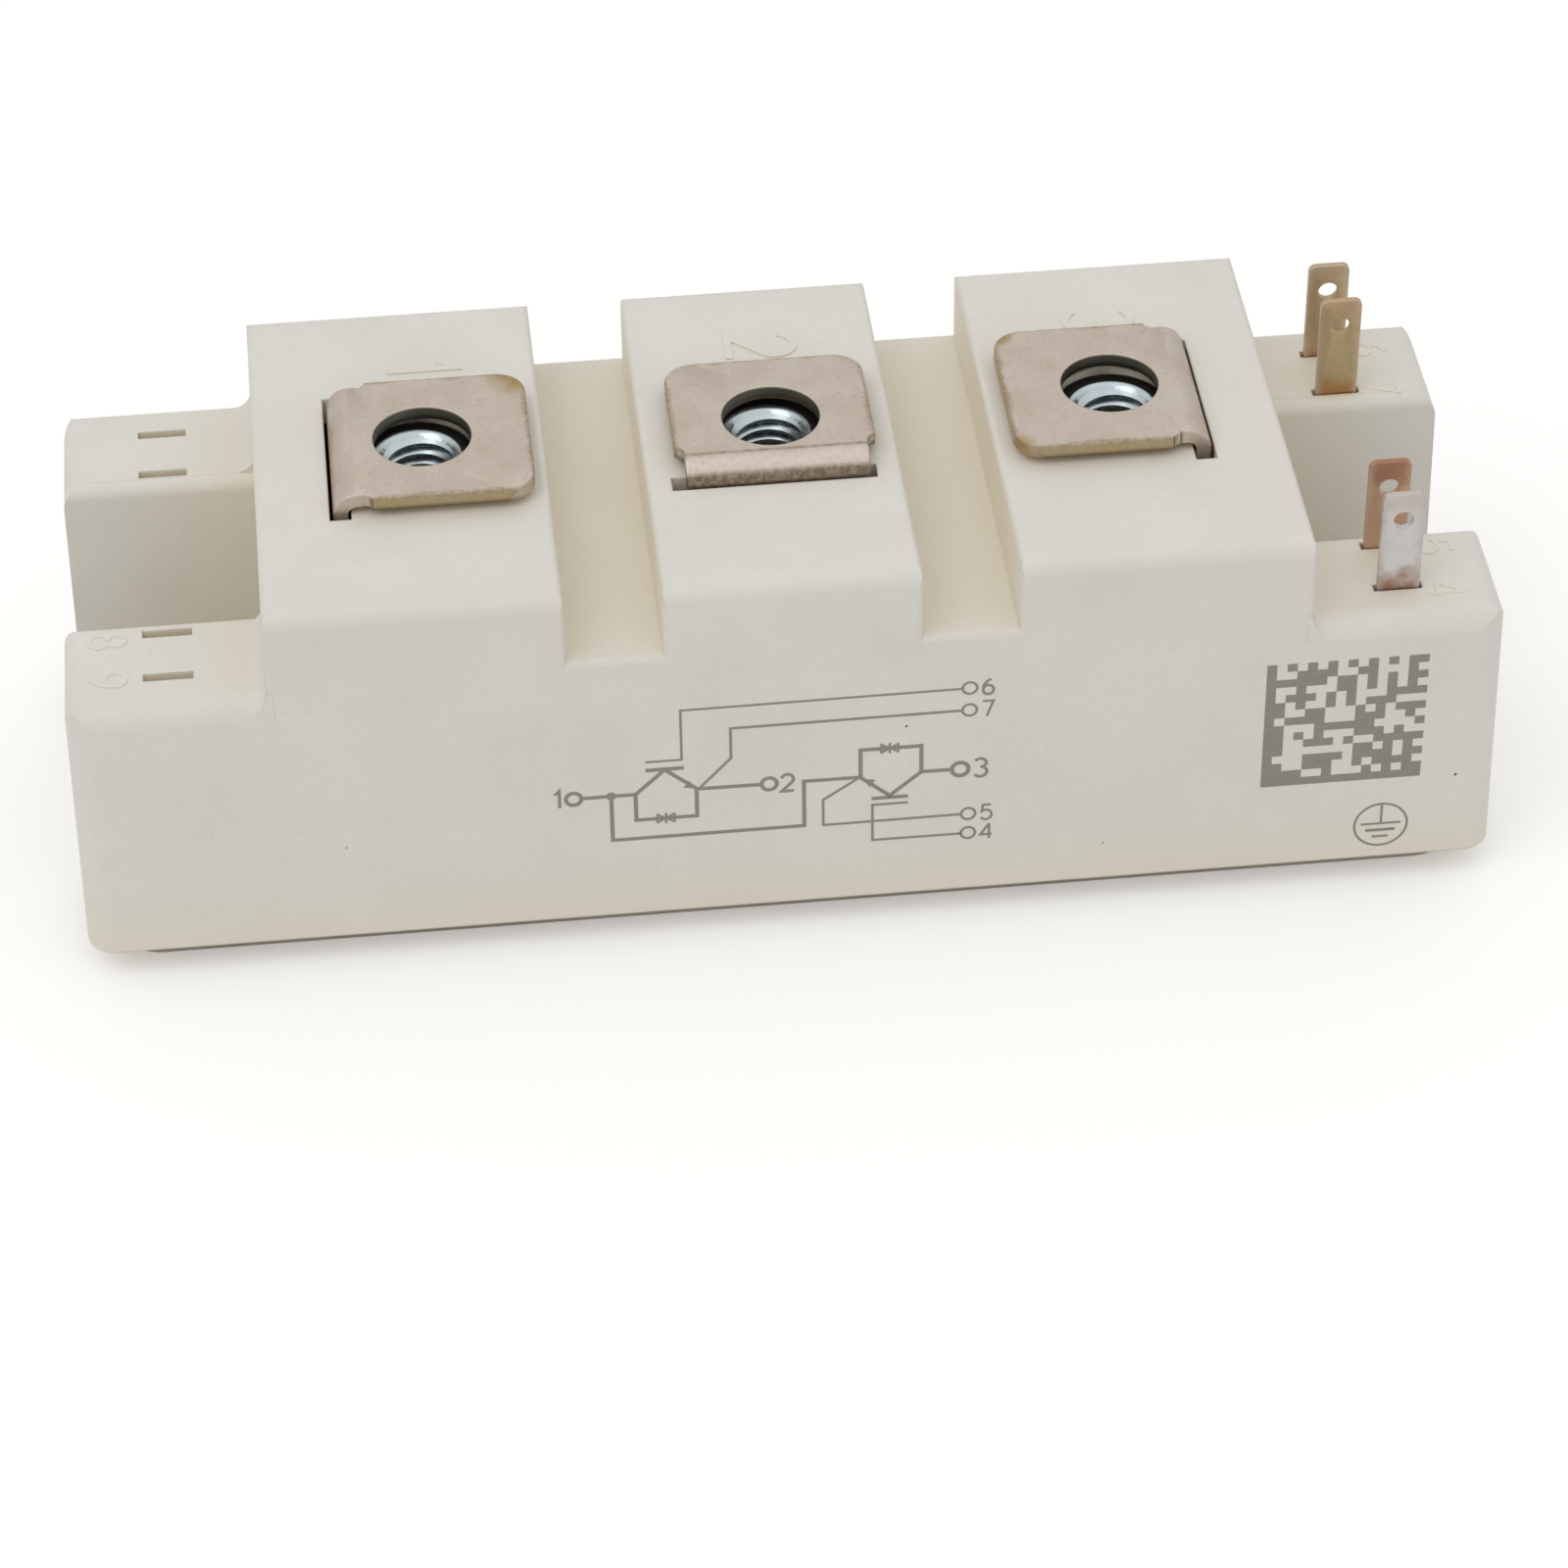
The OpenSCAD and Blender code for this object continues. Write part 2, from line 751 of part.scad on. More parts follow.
// Soft filling over the substrates, with room for all that it covers
module silicone_gel() {
    color("lightcyan", 0.5)
    difference() {
        translate([0, 0, plate_t])
        linear_extrude(gel_z - plate_t) inner_plan(gel_gap);
        stack_space();
        on_high_side() stack_space();
        link_space();
        for (i = [0 : 2]) leg_space(i);
        for (spec = [blade_4, blade_5, blade_6, blade_7]) blade_space(spec);
    }
}

// Substrate with its chips and the loops of their wires
module stack_space() {
    top = track_top + gel_gap;
    translate([-substrate_x - ceramic_l / 2 - gel_gap, -ceramic_w / 2 - gel_gap, 0])
        cube([ceramic_l + 2 * gel_gap, ceramic_w + 2 * gel_gap, top]);
    translate([-21, -9, 0]) cube([15.5, 20, top + 2.4]);
}

// Loops of the wires between the two substrates
module link_space() {
    translate([-3.4, -12.4, 0]) cube([6.8, 3, track_top + 2.2]);
}

// Foot and lower leg of a screw terminal
module leg_space(i) {
    span = lower_leg[i] + gel_gap * [-1, 1];
    joggle = (bend_out + sheet_bend_r) * (1 - cos(joggle_turn))
        + joggle_run * sin(joggle_turn);
    at_terminal(i)
    translate([joggle - leg_out[i] - gel_gap, span[0], 0]) {
        cube([bend_out + foot_run + 2 * gel_gap, span[1] - span[0],
            track_top + bend_out + gel_gap]);
        cube([sheet_t + 2 * gel_gap, span[1] - span[0], gel_z + 1]);
    }
}

// Foot, leg and bar of a blade terminal
module blade_space(spec) {
    low_x = spec[2] - blade_leg_w / 2 - gel_gap;
    leg = blade_leg_w + 2 * gel_gap;
    sheet = blade_t + 2 * gel_gap;
    foot = blade_t + 0.4 + blade_foot_run + 2 * gel_gap;
    mirror([0, spec[0] < 0 ? 1 : 0, 0])
    translate([low_x, blade_ys[spec[1]] - blade_t / 2 - gel_gap, 0]) {
        translate([0, 0, bar_z[0] - gel_gap])
            cube([blade_x + blade_w - low_x, sheet, gel_z]);
        translate([0, sheet - foot, 0]) cube([leg, foot, track_top + 1.1]);
        cube([leg, sheet, gel_z]);
    }
}

// ---- the pieces ----

base_plate();
case();
sealing_bead();
solder_layer();  // solder_low
on_high_side() solder_layer();  // solder_high
substrate();  // substrate_low
on_high_side() substrate();  // substrate_high
tracks_low();
tracks_high();
igbt_chip();  // igbt_chip_low
on_high_side() igbt_chip();  // igbt_chip_high
diode_chip();  // diode_chip_low
on_high_side() diode_chip();  // diode_chip_high
bond_wires();  // bond_wires_low
on_high_side() bond_wires();  // bond_wires_high
link_wires();
screw_terminal(0);  // screw_terminal_1
screw_terminal(1);  // screw_terminal_2
screw_terminal(2);  // screw_terminal_3
nut(0);  // nut_1
nut(1);  // nut_2
nut(2);  // nut_3
blade_terminal(blade_4);  // blade_terminal_4
blade_terminal(blade_5);  // blade_terminal_5
blade_terminal(blade_6);  // blade_terminal_6
blade_terminal(blade_7);  // blade_terminal_7
silicone_gel();
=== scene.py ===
import math

import bmesh
import bpy
from mathutils import Matrix, Vector


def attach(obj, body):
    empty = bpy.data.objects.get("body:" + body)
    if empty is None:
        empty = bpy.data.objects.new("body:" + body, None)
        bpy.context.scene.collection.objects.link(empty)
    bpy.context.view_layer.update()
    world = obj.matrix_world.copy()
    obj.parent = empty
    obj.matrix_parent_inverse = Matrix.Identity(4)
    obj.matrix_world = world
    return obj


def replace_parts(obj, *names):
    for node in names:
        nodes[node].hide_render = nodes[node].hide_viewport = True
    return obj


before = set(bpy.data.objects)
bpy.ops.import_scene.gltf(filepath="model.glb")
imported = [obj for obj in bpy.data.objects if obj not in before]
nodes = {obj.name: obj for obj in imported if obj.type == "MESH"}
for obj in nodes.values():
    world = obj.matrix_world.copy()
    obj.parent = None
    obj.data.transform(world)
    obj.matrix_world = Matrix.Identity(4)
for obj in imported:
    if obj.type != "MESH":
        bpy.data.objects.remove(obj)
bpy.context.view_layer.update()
scene = bpy.context.scene

MM = 0.001

# The housing as it was moulded, in millimetres
RIM_Z = 2.0
DRAFT = math.tan(math.radians(0.75))
HALF_W = 17.0
BLOCK_TOP = 21.9
TOWER_TOP = 28.5
PLATE_TOP = 30.0

# How wide the sharp edges of the metal pieces are broken
TERMINAL_EDGE, BLADE_EDGE, BASE_EDGE = 0.13, 0.08, 0.15
# Edges that turn by more than this many degrees are broken
BREAK_OVER = 40.0
# Neighbouring faces are shaded as one curve up to this many degrees
SHEET_CREASE, NUT_CREASE = 20.0, 30.0
# A face over this area, in square millimetres, is shaded as a true plane
WIDE_FACE = 12.0

# Screw terminals: centre of the hole, and the plate from its low to its high corner
PLATES = {
    1: ((-22.6, -0.2), (-28.75, -6.65), (-15.55, 6.25)),
    2: ((0.25, -0.6), (-6.35, -5.9), (6.85, 5.8)),
    3: ((22.85, 0.4), (15.8, -6.15), (28.75, 6.95)),
}
HOLE_R = 3.2
# How much further back than its solid each plate reaches
LONGER = {1: 0.0, 2: 0.8, 3: 0.0}

# Nuts, centred on the module's middle line
NUT_XS = {1: -23.0, 2: 0.0, 3: 23.0}
NUT_TOP, NUT_HEIGHT = 28.25, 4.0
THREAD_R, THREAD_DEPTH, THREAD_PITCH = 2.5, 0.43, 0.8

# Middle of the blade terminals along the module
BLADE_X = 40.0

# The printed marks: how far they stand off the wall, and how deep they are rooted in it
INK_UP, INK_DOWN = 0.012, 0.03
# Widths of the circuit's thin and thick lines
FINE, BOLD = 0.17, 0.27

# Code field: cells along a side, its corners on the front wall, and the share of cells marked
CELLS = 16
CODE_LOW, CODE_HIGH = (30.92, 8.72), (41.65, 18.95)
MARKED_SHARE = 0.55

# Grit baked into the front wall: x, z and radius
GRIT = ((44.06, 8.59, 0.11), (7.29, 16.17, 0.09), (-29.5, 9.5, 0.06), (20.5, 5.0, 0.06))

# Raised numbers on the towers and beside the slots: x and y where each starts
TOWER_NUMBERS = {1: (-24.5, 10.75), 2: (-1.6, 10.7), 3: (21.3, 10.9)}
SLOT_NUMBERS = {
    4: (41.9, -13.1), 5: (41.9, -8.5), 6: (41.9, 14.0), 7: (41.9, 9.5),
    8: (-45.1, -8.45), 9: (-45.1, -12.5),
}


# ---- materials ----


class Wiring:
    """Adds nodes to a tree and joins them up."""

    def __init__(self, tree):
        self.tree = tree

    def node(self, kind, inputs=None, **settings):
        n = self.tree.nodes.new(kind)
        for key, value in settings.items():
            setattr(n, key, value)
        for key, value in (inputs or {}).items():
            if isinstance(value, bpy.types.NodeSocket):
                self.tree.links.new(value, n.inputs[key])
            else:
                n.inputs[key].default_value = value
        return n

    def math(self, operation, a, b=0.0):
        return self.node("ShaderNodeMath", {0: a, 1: b}, operation=operation).outputs[0]


class Paint(Wiring):
    """Wires up one procedural material. Sizes are in millimetres of the object."""

    def __init__(self, name, colour=(0.5, 0.5, 0.5), rough=0.5, metal=0.0, **constants):
        self.material = bpy.data.materials.new(name)
        self.material.use_nodes = True
        super().__init__(self.material.node_tree)
        self.shader = self.tree.nodes["Principled BSDF"]
        self.set("Base Color", (*colour, 1))
        self.set("Roughness", rough)
        self.set("Metallic", metal)
        for key, value in constants.items():
            self.set(key.replace("_", " ").title(), value)
        where = self.tree.nodes.new("ShaderNodeTexCoord").outputs["Object"]
        self.where = self.math_vector("SCALE", where, scale=1 / MM)

    def set(self, socket, value):
        self.shader.inputs[socket].default_value = value

    def link(self, out, socket):
        self.tree.links.new(out, self.shader.inputs[socket])
        return self

    def math_vector(self, operation, vector, other=None, scale=None):
        inputs = {0: vector}
        if other is not None:
            inputs[1] = other
        n = self.node("ShaderNodeVectorMath", inputs, operation=operation)
        if scale is not None:
            n.inputs["Scale"].default_value = scale
        return n.outputs[0]

    def axis(self, name):
        return self.node("ShaderNodeSeparateXYZ", {0: self.where}).outputs[name]

    def noise(self, size, detail=3.0, rough=0.5, stretch=(1, 1, 1), shift=(0, 0, 0)):
        """Cloudy noise whose blobs are about size millimetres across."""
        where = self.math_vector("MULTIPLY", self.where, stretch)
        where = self.math_vector("ADD", where, shift)
        inputs = {"Vector": where, "Scale": 1 / size, "Detail": detail, "Roughness": rough}
        return self.node("ShaderNodeTexNoise", inputs).outputs["Fac"]

    def ramp(self, value, low, high, to_low=0.0, to_high=1.0):
        inputs = {0: value, 1: low, 2: high, 3: to_low, 4: to_high}
        return self.node("ShaderNodeMapRange", inputs, clamp=True).outputs[0]

    def away_squared(self, centre):
        """Squared distance from the upright line through centre."""
        steps = [self.math("SUBTRACT", self.axis(name), at) for name, at in zip("XY", centre)]
        return self.math("ADD", *(self.math("POWER", step, 2.0) for step in steps))

    def near(self, value, centre, reach):
        """1 where value is at centre, falling to 0 at reach from it."""
        away = self.math("ABSOLUTE", self.math("SUBTRACT", value, centre))
        return self.ramp(away, 0.0, reach, 1.0, 0.0)

    def mix(self, fac, a, b):
        n = self.node("ShaderNodeMix", data_type="RGBA")
        for socket, value in ((n.inputs[0], fac), (n.inputs[6], a), (n.inputs[7], b)):
            if isinstance(value, bpy.types.NodeSocket):
                self.tree.links.new(value, socket)
            else:
                socket.default_value = value if isinstance(value, float) else (*value, 1)
        return n.outputs[2]

    def soft_edges(self, radius):
        return self.node("ShaderNodeBevel", {"Radius": radius * MM}, samples=4).outputs[0]

    def bump(self, height, strength, depth, under=None):
        inputs = {"Height": height, "Strength": strength, "Distance": depth * MM}
        if under is not None:
            inputs["Normal"] = under
        return self.node("ShaderNodeBump", inputs).outputs[0]


def moulded_plastic(name="ivory_thermoset", edge=0.22):
    """Filled thermoset in warm ivory: finely mottled, with a warm painted shade where it is sheltered.

    edge is the radius that its sharp edges show."""
    p = Paint(name, rough=0.5)
    cloud, grain, speck = p.noise(7.0, 4), p.noise(0.45, 2), p.noise(0.9, 2, shift=(5, 3, 9))
    base = p.mix(p.ramp(cloud, 0.35, 0.65), (0.705, 0.690, 0.648), (0.735, 0.722, 0.684))
    base = p.mix(p.ramp(grain, 0.35, 0.7, 0.0, 0.25), base, (0.66, 0.64, 0.59))
    base = p.mix(p.ramp(speck, 0.72, 0.78, 0.0, 0.12), base, (0.46, 0.42, 0.34))
    # Painted shade: the colour turns warm yellow in recesses and corners, standing in for warm light
    # bounced there
    occlusion_for_painted_shade = p.node("ShaderNodeAmbientOcclusion", {"Distance": 14 * MM}, samples=4).outputs["AO"]
    base = p.mix(p.ramp(occlusion_for_painted_shade, 0.35, 0.95, 0.9, 0.0), base, (0.80, 0.735, 0.60))
    p.link(base, "Base Color")
    p.link(p.ramp(grain, 0.3, 0.7, 0.44, 0.58), "Roughness")
    waves = p.bump(cloud, 0.2, 0.12, p.soft_edges(edge) if edge else None)
    p.link(p.bump(grain, 0.18, 0.03, waves), "Normal")
    return p.material


def terminal_metal(number, patches=(), bend=None):
    """Plated copper sheet: matt pinkish beige, gone brown along its edges.

    patches are golden stains: x, y, reach. bend is the Y where the sheet starts to fold forwards, where a
    painted highlight and a painted dark reflection go."""
    hole, low, high = PLATES[number]
    p = Paint(f"terminal_plating_{number}", rough=0.4, metal=0.85)
    x, y, z = (p.axis(name) for name in "XYZ")
    cloud = p.noise(2.2, 4, 0.55, shift=(number * 7.3, 0, 0))
    fleck = p.noise(0.35, 3, 0.6, shift=(number * 3.1, 2, 0))
    base = p.mix(p.ramp(cloud, 0.35, 0.7), (0.645, 0.572, 0.505), (0.585, 0.505, 0.435))
    base = p.mix(p.ramp(fleck, 0.58, 0.74, 0.0, 0.45), base, (0.44, 0.36, 0.28))
    # Distance to the nearest edge of the plate
    to_x = p.math("MINIMUM", p.math("SUBTRACT", x, low[0]), p.math("SUBTRACT", high[0], x))
    to_y = p.math("MINIMUM", p.math("SUBTRACT", y, low[1]), p.math("SUBTRACT", high[1], y))
    edge = p.math("MINIMUM", to_x, to_y)
    wander = p.ramp(cloud, 0.3, 0.7, 0.12, 0.55)
    rim = p.ramp(p.math("DIVIDE", edge, wander), 0.2, 1.0, 1.0, 0.0)
    rim = p.math("MULTIPLY", rim, p.ramp(fleck, 0.3, 0.6, 0.25, 0.85))
    base = p.mix(rim, base, (0.33, 0.235, 0.14))
    # The sheared side faces: yellow at the top, and a dark brown painted shade along the bottom
    sheared = p.ramp(edge, 0.1, 0.03)
    depth = p.math("SUBTRACT", PLATE_TOP, z)
    upper = p.math("MULTIPLY", sheared, p.ramp(depth, 0.02, 0.22, 0.0, 0.85))
    base = p.mix(upper, base, (0.50, 0.41, 0.24))
    # Painted shade: a dark brown line along the foot of each side face, above the tower
    edge_foot_painted_shade = p.math("MULTIPLY", sheared, p.ramp(depth, 0.62, 0.95, 0.0, 0.9))
    base = p.mix(edge_foot_painted_shade, base, (0.16, 0.10, 0.055))
    # The wall of the hole: painted shade, darkest towards the nut
    in_hole = p.ramp(p.math("SQRT", p.away_squared(hole)), HOLE_R + 0.06, HOLE_R + 0.01)
    base = p.mix(in_hole, base, (0.20, 0.19, 0.145))
    hole_foot_painted_shade = p.math("MULTIPLY", in_hole, p.ramp(depth, 0.45, 0.8))
    base = p.mix(hole_foot_painted_shade, base, (0.06, 0.055, 0.04))
    for *centre, reach in patches:
        spot = p.ramp(p.away_squared(centre), 0.1, reach * reach, 1.0, 0.0)
        spot = p.math("MULTIPLY", spot, p.ramp(cloud, 0.3, 0.6, 0.35, 1.0))
        base = p.mix(spot, base, (0.42, 0.29, 0.12))
    if bend is not None:
        # Painted light on the fold: a dark line where it starts, a painted highlight over the bend, and a
        # painted dark reflection low on the sheet
        line = p.math("MULTIPLY", p.near(y, bend, 0.22), p.ramp(fleck, 0.25, 0.6, 0.3, 0.9))
        base = p.mix(line, base, (0.27, 0.21, 0.16))
        folded = p.ramp(y, bend - 0.25, bend - 0.45)
        bend_painted_highlight = p.mix(p.ramp(fleck, 0.3, 0.7), (0.70, 0.62, 0.56), (0.62, 0.54, 0.47))
        base = p.mix(folded, base, bend_painted_highlight)
        bend_painted_reflection = p.math("MULTIPLY", p.ramp(depth, 0.55, 0.85), p.ramp(fleck, 0.25, 0.6, 0.5, 1.0))
        base = p.mix(bend_painted_reflection, base, (0.22, 0.165, 0.115))
    p.link(base, "Base Color")
    p.link(p.ramp(fleck, 0.3, 0.7, 0.34, 0.5), "Roughness")
    p.link(p.bump(fleck, 0.25, 0.03), "Normal")
    return p.material


def bright_steel():
    """Zinc-plated steel with a bluish shine, its top face painted near-black as shade under the plate."""
    p = Paint("zinc_plated_steel", rough=0.24, metal=1.0)
    cloud = p.noise(0.8, 3)
    base = p.mix(cloud, (0.44, 0.52, 0.56), (0.68, 0.75, 0.78))
    # Painted shade: a near-black ring on each nut's top face, standing in for the shadow under the plate;
    # it is also made rougher
    nut_top_painted_shade = 0.0
    for nut_x in NUT_XS.values():
        away = p.away_squared((nut_x, 0.0))
        ring = p.math("MULTIPLY", p.ramp(away, 8.2, 8.8), p.ramp(away, 26.0, 25.0))
        nut_top_painted_shade = p.math("ADD", nut_top_painted_shade, ring)
    nut_top_painted_shade = p.math("MULTIPLY", nut_top_painted_shade, p.ramp(p.axis("Z"), NUT_TOP - 0.06, NUT_TOP - 0.02))
    base = p.mix(nut_top_painted_shade, base, (0.035, 0.034, 0.03))
    p.link(base, "Base Color")
    rough = p.ramp(cloud, 0.3, 0.7, 0.18, 0.32)
    p.link(p.math("ADD", rough, p.math("MULTIPLY", nut_top_painted_shade, 0.4)), "Roughness")
    return p.material


def nickel_plate():
    """Nickel on copper, faintly brushed along the module."""
    p = Paint("nickel_plate", rough=0.35, metal=1.0)
    brushed = p.noise(0.4, 3, stretch=(0.05, 1, 1))
    p.link(p.mix(brushed, (0.50, 0.46, 0.41), (0.62, 0.58, 0.53)), "Base Color")
    p.link(p.ramp(brushed, 0.3, 0.7, 0.28, 0.42), "Roughness")
    p.link(p.bump(brushed, 0.15, 0.02), "Normal")
    return p.material


def blade_metal(number, crown, middle, root, edge, tip_z):
    """Tarnished tin over brass, running through three tones from tip to root."""
    p = Paint(f"blade_tarnish_{number}", rough=0.42, metal=0.7)
    x, z = p.axis("X"), p.axis("Z")
    cloud = p.noise(1.3, 4, 0.6, shift=(number * 5.7, 0, 0))
    fleck = p.noise(0.55, 3, 0.6, shift=(0, number * 2.9, 0))
    level = p.math("ADD", z, p.ramp(cloud, 0.2, 0.8, -1.1, 1.1))
    base = p.mix(p.ramp(level, tip_z - 2.2, tip_z - 0.9), middle, crown)
    base = p.mix(p.ramp(level, BLOCK_TOP + 1.9, BLOCK_TOP + 0.3), base, root)
    sides = p.ramp(p.math("ABSOLUTE", p.math("SUBTRACT", x, BLADE_X)), 0.9, 1.35)
    sides = p.math("MULTIPLY", sides, p.ramp(cloud, 0.3, 0.6, 0.3, 1.0))
    base = p.mix(sides, base, edge)
    base = p.mix(p.ramp(fleck, 0.55, 0.8, 0.0, 0.35), base, tuple(0.6 * c for c in middle))
    p.link(base, "Base Color")
    p.link(p.ramp(fleck, 0.3, 0.7, 0.34, 0.55), "Roughness")
    p.link(p.bump(fleck, 0.3, 0.03), "Normal")
    return p.material


def simple(name, dark, light, rough, metal=0.0, size=1.5, **constants):
    """A material that only varies softly between two colours."""
    p = Paint(name, rough=rough, metal=metal, **constants)
    cloud = p.noise(size, 3)
    p.link(p.mix(cloud, dark, light), "Base Color")
    p.link(p.ramp(cloud, 0.3, 0.7, rough * 0.9, min(1.0, rough * 1.1)), "Roughness")
    return p.material


# ---- building pieces ----


def piece(name, mesh, material):
    """Adds a mesh to the part under the body it rides on."""
    obj = bpy.data.objects.new(name, mesh)
    scene.collection.objects.link(obj)
    mesh.materials.clear()
    mesh.materials.append(material)
    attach(obj, "root")
    return obj


def dress(name, material):
    for slot in nodes[name].material_slots:
        slot.material = material


def from_faces(name, verts, faces):
    """A closed mesh with its faces turned outwards, from millimetres."""
    mesh = bpy.data.meshes.new(name)
    mesh.from_pydata([Vector(v) * MM for v in verts], [], faces)
    bm = bmesh.new()
    bm.from_mesh(mesh)
    bmesh.ops.recalc_face_normals(bm, faces=bm.faces)
    bm.to_mesh(mesh)
    bm.free()
    return mesh


def softened_copy(name, width, longer=0.0):
    """The CAD node's mesh with its sharp outer edges broken to a small width.

    longer moves a plate's rear edge back by that much."""
    behind_hole, over_tower = (HOLE_R - 0.5) * MM, (TOWER_TOP + 0.1) * MM
    bm = bmesh.new()
    bm.from_mesh(nodes[name].data)
    bmesh.ops.remove_doubles(bm, verts=bm.verts, dist=2e-6)
    if longer:
        for v in bm.verts:
            if v.co.y > behind_hole and v.co.z > over_tower:
                v.co.y += longer * MM
    bmesh.ops.dissolve_limit(
        bm, angle_limit=math.radians(0.4), verts=bm.verts, edges=bm.edges, delimit={"NORMAL"}
    )
    limit = math.radians(BREAK_OVER)
    sharp = [e for e in bm.edges if e.is_manifold and e.calc_face_angle_signed() > limit]
    bmesh.ops.bevel(
        bm, geom=sharp, offset=width * MM, segments=2, profile=0.5, affect="EDGES",
        clamp_overlap=False,
    )
    bmesh.ops.triangulate(bm, faces=[f for f in bm.faces if len(f.verts) > 4])
    mesh = bpy.data.meshes.new(name + "_softened")
    bm.to_mesh(mesh)
    bm.free()
    mesh.shade_smooth()
    mesh.set_sharp_from_angle(angle=math.radians(SHEET_CREASE))
    for polygon in mesh.polygons:
        if polygon.area > WIDE_FACE * MM * MM:
            polygon.use_smooth = False
    return mesh


class Grower(Wiring):
    """A Geometry Nodes tree that grows one mesh. Its named inputs are sizes in metres and counts."""

    KINDS = {int: "NodeSocketInt", float: "NodeSocketFloat", tuple: "NodeSocketVector"}

    def __init__(self, name, **sizes):
        super().__init__(bpy.data.node_groups.new(name, "GeometryNodeTree"))
        self.values = {}
        for label, value in sizes.items():
            socket = self.tree.interface.new_socket(
                label, in_out="INPUT", socket_type=self.KINDS[type(value)]
            )
            self.values[socket.identifier] = value
        self.tree.interface.new_socket("Geometry", in_out="OUTPUT", socket_type="NodeSocketGeometry")
        self.size = self.tree.nodes.new("NodeGroupInput").outputs

    def grow(self, geometry, material):
        real = self.node("GeometryNodeRealizeInstances", {0: geometry}).outputs[0]
        done = self.node("GeometryNodeSetMaterial", {0: real, "Material": material}).outputs[0]
        out = self.tree.nodes.new("NodeGroupOutput")
        self.tree.links.new(done, out.inputs[0])
        holder = bpy.data.objects.new(self.tree.name, bpy.data.meshes.new(self.tree.name))
        scene.collection.objects.link(holder)
        modifier = holder.modifiers.new("grow", "NODES")
        modifier.node_group = self.tree
        for identifier, value in self.values.items():
            modifier[identifier] = value
        grown = holder.evaluated_get(bpy.context.evaluated_depsgraph_get())
        mesh = bpy.data.meshes.new_from_object(grown)
        holder.modifiers.remove(modifier)
        bpy.data.objects.remove(holder)
        return mesh


# ---- threaded nuts ----


def thread(number, material):
    """The ridge of the thread: flat-topped, run along a helix and tapered at both ends."""
    g = Grower(
        f"thread_{number}", Radius=THREAD_R * MM, Depth=THREAD_DEPTH * MM, Root=0.74 * MM,
        Crest=0.2 * MM, Pitch=THREAD_PITCH * MM, Turns=(NUT_HEIGHT - 0.75) / THREAD_PITCH,
        Foot=(NUT_XS[number] * MM, 0.0, (NUT_TOP - NUT_HEIGHT + 0.35) * MM),
    )
    height = g.math("MULTIPLY", g.size["Pitch"], g.size["Turns"])
    helix = g.node("GeometryNodeCurveSpiral", {
        "Resolution": 64, "Rotations": g.size["Turns"], "Start Radius": g.size["Radius"],
        "End Radius": g.size["Radius"], "Height": height,
    }).outputs[0]
    along = g.node("GeometryNodeSplineParameter").outputs["Factor"]
    from_end = g.math("MINIMUM", along, g.math("SUBTRACT", 1.0, along))
    taper = g.math("MINIMUM", g.math("ADD", g.math("MULTIPLY", from_end, 9.0), 0.15), 1.0)
    helix = g.node("GeometryNodeSetCurveNormal", {0: helix}, mode="Z_UP").outputs[0]
    ridge = g.node("GeometryNodeCurvePrimitiveQuadrilateral", {
        "Height": g.size["Depth"], "Bottom Width": g.size["Root"], "Top Width": g.size["Crest"],
        "Offset": 0.0,
    }, mode="TRAPEZOID").outputs[0]
    # The crest points to the axis, and the root is sunk a little in the wall of the bore
    inward = g.math("MULTIPLY", g.size["Depth"], 0.47)
    inward = g.node("ShaderNodeCombineXYZ", {0: inward}).outputs[0]
    ridge = g.node("GeometryNodeTransform", {
        0: ridge, "Rotation": (0.0, 0.0, -math.pi / 2), "Translation": inward,
    }).outputs[0]
    sweep = g.node("GeometryNodeCurveToMesh", {"Curve": helix, "Profile Curve": ridge, "Fill Caps": True})
    g.tree.links.new(taper, sweep.inputs["Scale"])
    flat = g.node("GeometryNodeSetShadeSmooth", {0: sweep.outputs[0], "Shade Smooth": False}).outputs[0]
    placed = g.node("GeometryNodeTransform", {0: flat, "Translation": g.size["Foot"]}).outputs[0]
    return g.grow(placed, material)


def threaded_nut(number, material):
    """The CAD nut with its bore opened to the full depth of a real thread."""
    axis = Vector((NUT_XS[number], 0)) * MM
    middle = (NUT_TOP - NUT_HEIGHT / 2) * MM
    ends = {1: (NUT_TOP - 0.4) * MM, -1: (NUT_TOP - NUT_HEIGHT + 0.2) * MM}
    bm = bmesh.new()
    bm.from_mesh(nodes[f"nut_{number}"].data)
    bmesh.ops.remove_doubles(bm, verts=bm.verts, dist=1e-6)
    for v in bm.verts:
        out = v.co.xy - axis
        if out.length < (THREAD_R - 0.2) * MM:
            v.co.xy = axis + out.normalized() * THREAD_R * MM
            v.co.z = ends[1 if v.co.z > middle else -1]
    mesh = bpy.data.meshes.new(f"nut_{number}_threaded")
    bm.to_mesh(mesh)
    mesh.shade_smooth()
    mesh.set_sharp_from_angle(angle=math.radians(NUT_CREASE))
    bm.free()
    bm = bmesh.new()
    bm.from_mesh(mesh)
    bm.from_mesh(thread(number, material))
    bm.to_mesh(mesh)
    bm.free()
    return mesh


# ---- code field ----


